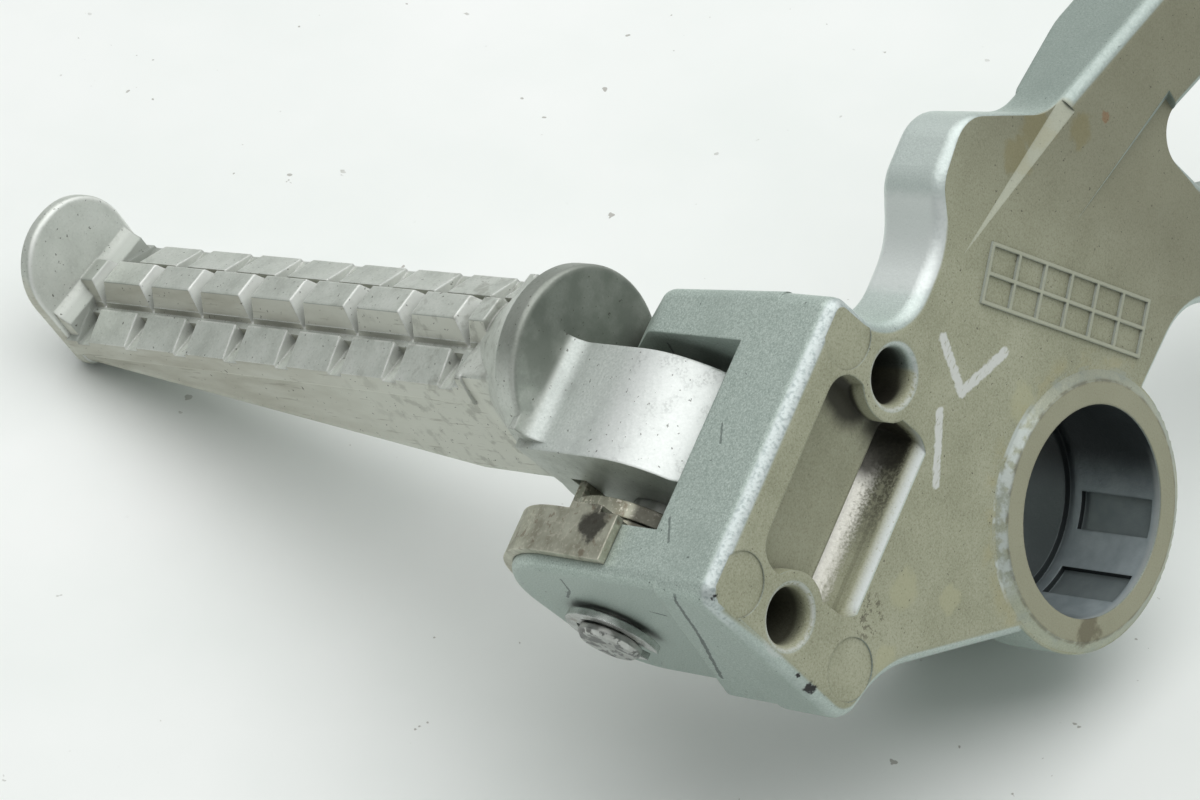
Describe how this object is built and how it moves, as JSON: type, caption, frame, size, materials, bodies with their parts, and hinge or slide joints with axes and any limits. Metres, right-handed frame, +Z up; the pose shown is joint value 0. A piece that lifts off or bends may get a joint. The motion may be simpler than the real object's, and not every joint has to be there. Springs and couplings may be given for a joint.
{
  "type": "folding footrest bracket",
  "caption": "Cast hanger bracket with a sprung folding footpeg on a pivot pin; a spindle bore and eyed arms fix it to a frame.",
  "frame": {"origin": "centre of the spindle bore on the face of its raised ring", "axes": "+Y out of the vehicle along the peg, +Z up with the tread level, +X forwards along the arms"},
  "size_m": [0.1432, 0.1346, 0.0858],
  "materials": {
    "painted_casting": "silver paint over a fine casting skin, dull khaki on the back face",
    "bare_casting": "bare casting, worn bright on the tongue",
    "pin_steel": "turned, worn",
    "ring_steel": "bright stamped",
    "spring_steel": "dark, scuffed bright in places"
  },
  "bodies": {
    "bracket": {"bracket": "painted_casting", "pivot_pin": "pin_steel", "retaining_ring": "ring_steel", "return_spring": "spring_steel"},
    "footpeg": {"footpeg": "bare_casting"}
  },
  "joints": [
    {"name": "peg_fold", "type": "hinge", "parent": "bracket", "child": "footpeg", "pos_m": [-0.02879, 0.028, 0.03281], "axis": [0.9703, 0, 0.2419], "range_deg": [0, 50], "stiffness_Nm_per_rad": 0.15, "springref_deg": -34.38, "deforming": ["return_spring"]}
  ]
}
